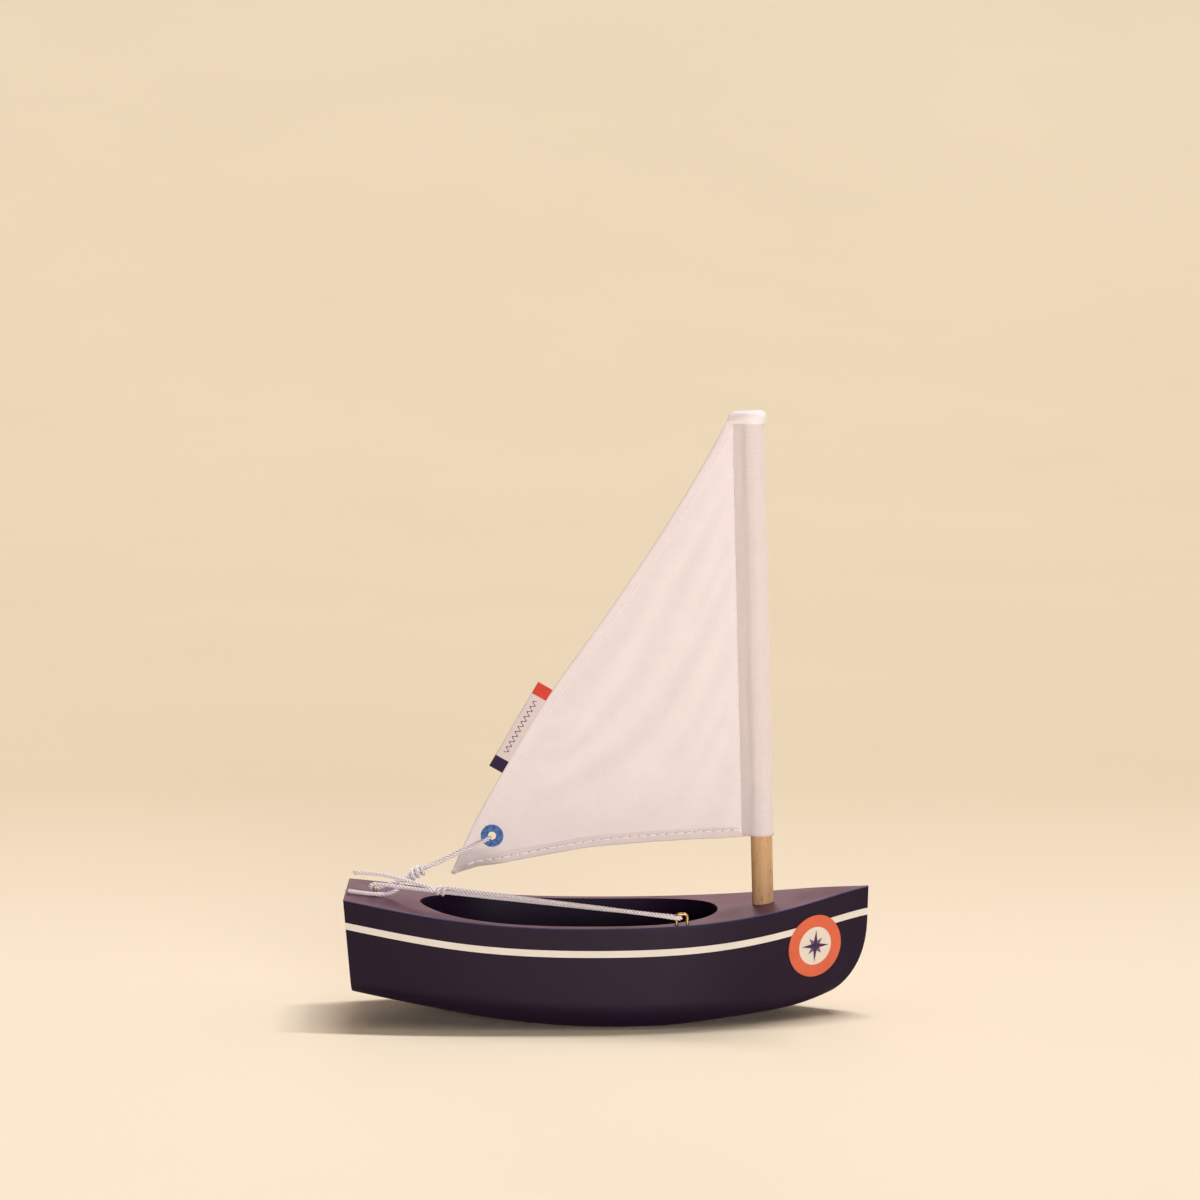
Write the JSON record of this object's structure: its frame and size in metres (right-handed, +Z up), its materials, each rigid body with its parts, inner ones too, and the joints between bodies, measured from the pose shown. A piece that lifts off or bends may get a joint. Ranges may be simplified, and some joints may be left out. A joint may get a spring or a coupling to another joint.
{
  "type": "toy sailing boat",
  "caption": "Solid wooden toy sailing boat with a stepped mast, a cloth sail on a luff sleeve, a cord sheet on wire staples and a routed cockpit.",
  "frame": {"origin": "on the table, under the middle of the hull", "axes": "+X to the bow, +Y to port, +Z up"},
  "size_m": [0.1706, 0.0604, 0.1971],
  "materials": {
    "hull_paint": "satin navy stain",
    "ballast_steel": "plain",
    "plug_wood": "satin navy stain",
    "staple_brass": "bright drawn wire",
    "stripe": "thin printed film",
    "decal": "thin printed film",
    "mast_wood": "sanded bare beech",
    "sail_cloth": "plain woven cotton",
    "eyelet_thread": "buttonhole stitched thread",
    "label_ribbon": "woven ribbon",
    "cord": "twisted cotton cord"
  },
  "bodies": {
    "hull": {"hull": "hull_paint", "ballast_slug_aft": "ballast_steel", "ballast_slug_fore": "ballast_steel", "ballast_plug_aft": "plug_wood", "ballast_plug_fore": "plug_wood", "stern_staple": "staple_brass", "gunwale_staple": "staple_brass", "stripe_starboard": "stripe", "stripe_port": "stripe", "decal_starboard": "decal", "decal_port": "decal", "clew_knot": "cord", "sheet_lead": "cord", "sheet_standing": "cord", "sheet_fall": "cord", "slide_hitch": "cord", "hitch_tail": "cord", "knot_tail": "cord"},
    "mast": {"mast": "mast_wood"},
    "sail": {"luff_sleeve": "sail_cloth", "sail_head": "sail_cloth", "sail_panel": "sail_cloth", "clew_eyelet": "eyelet_thread", "leech_label": "label_ribbon", "clew_loop": "cord"}
  },
  "joints": [
    {"name": "sail_swing", "type": "hinge", "parent": "hull", "child": "sail", "pos_m": [0.0508, 0, 0.0361], "axis": [-0.0271, 0, 0.9996], "range_deg": [-8, 8]},
    {"name": "mast_turn", "type": "hinge", "parent": "hull", "child": "mast", "pos_m": [0.0508, 0, 0.0361], "axis": [-0.0271, 0, 0.9996], "continuous": true}
  ]
}
